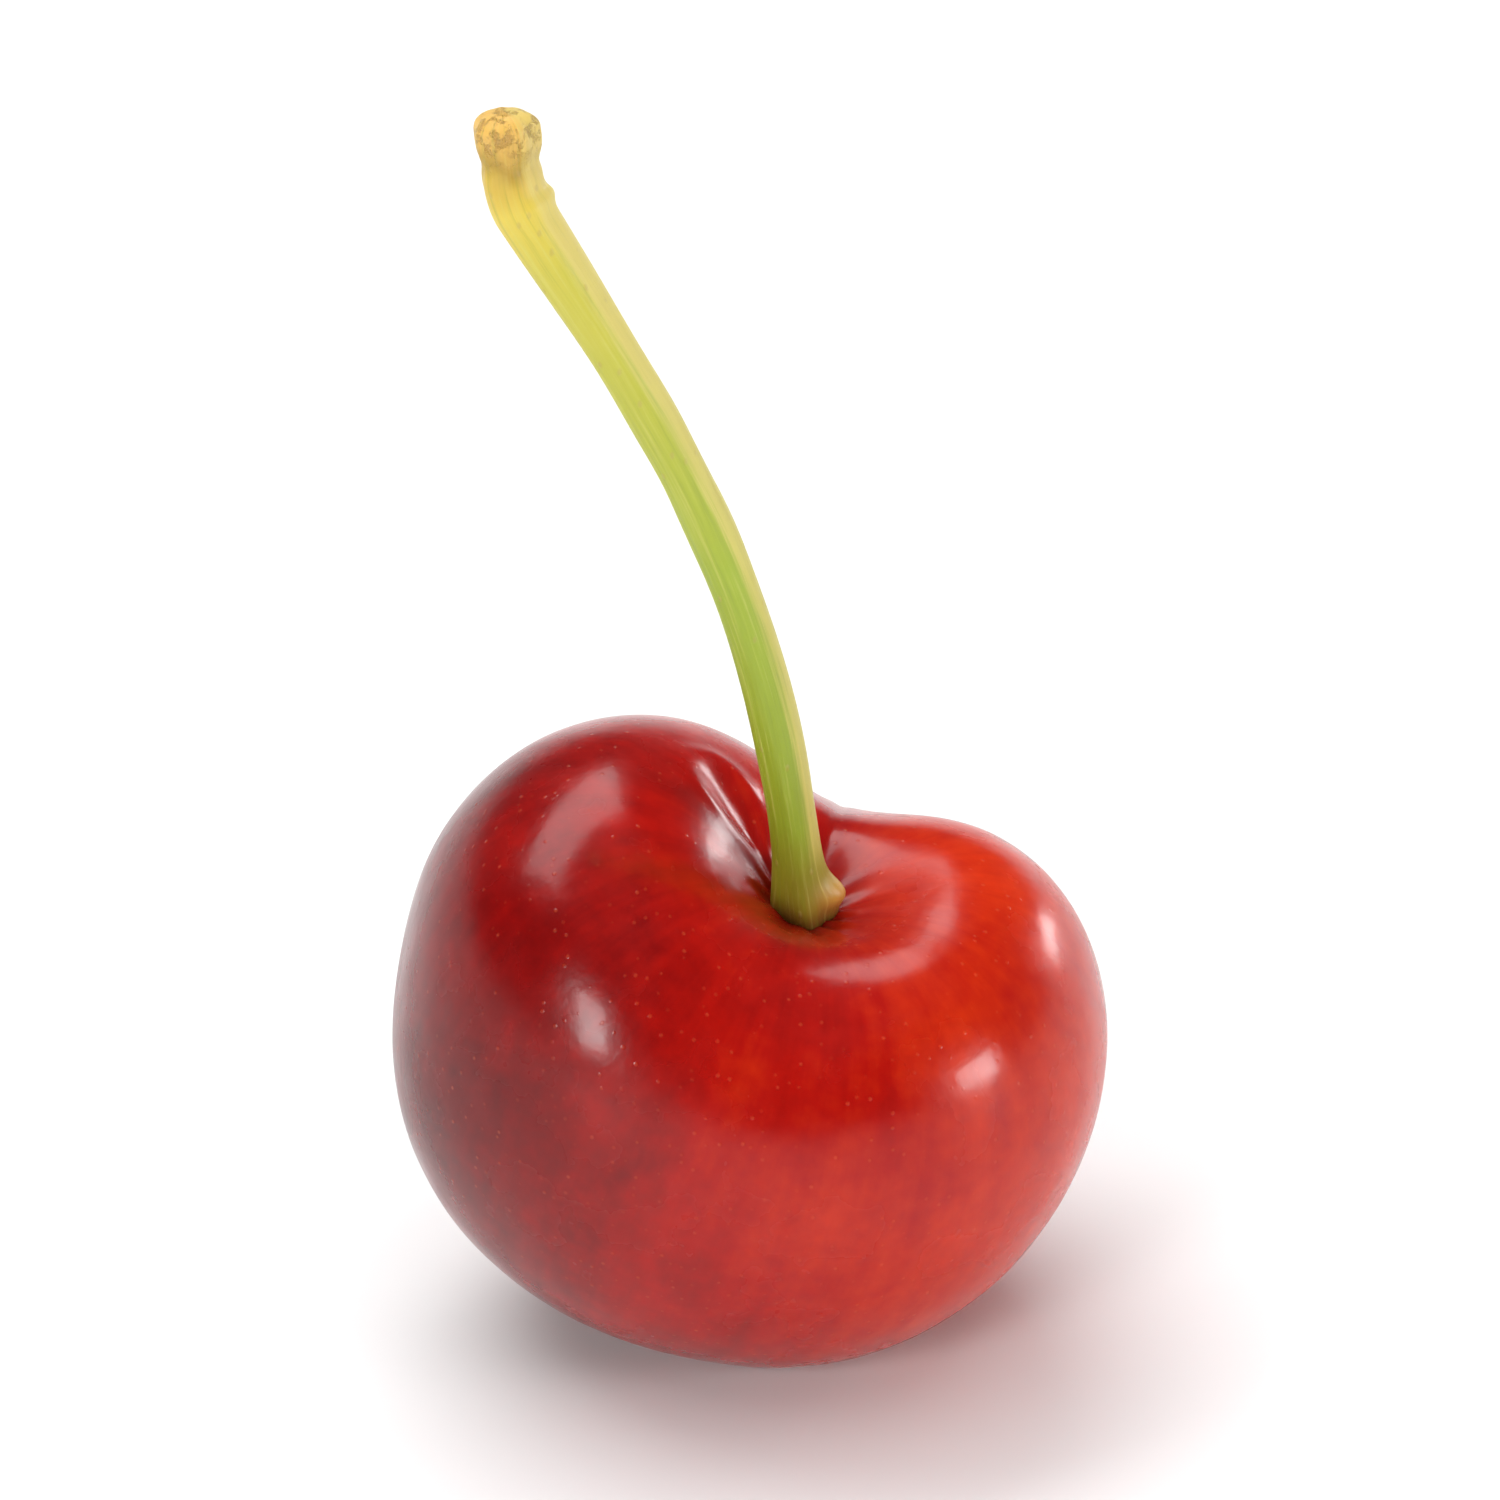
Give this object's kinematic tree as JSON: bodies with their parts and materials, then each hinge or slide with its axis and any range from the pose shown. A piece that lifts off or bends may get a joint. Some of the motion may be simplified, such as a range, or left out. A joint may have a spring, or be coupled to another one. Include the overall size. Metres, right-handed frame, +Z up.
{
  "type": "cherry on a stalk",
  "caption": "Ripe red sweet cherry on its green stalk, with full shoulders, a stalk cavity and a valley between them, resting on a small flat.",
  "frame": {"origin": "middle of the flat under the fruit that the cherry rests on", "axes": "+Z up from the resting surface; +X towards the lower shoulder, the way the fruit leans; +Y towards the back, where the valley between the shoulders is deepest"},
  "size_m": [0.025, 0.0221, 0.0485],
  "materials": {
    "cherry_skin": "glossy waxy fruit skin, deep red with fine pale specks",
    "stalk_green": "satin plant stalk, lime green going yellow to a tan cap"
  },
  "bodies": {
    "root": {"cherry_fruit": "cherry_skin", "stalk": "stalk_green"}
  },
  "joints": []
}
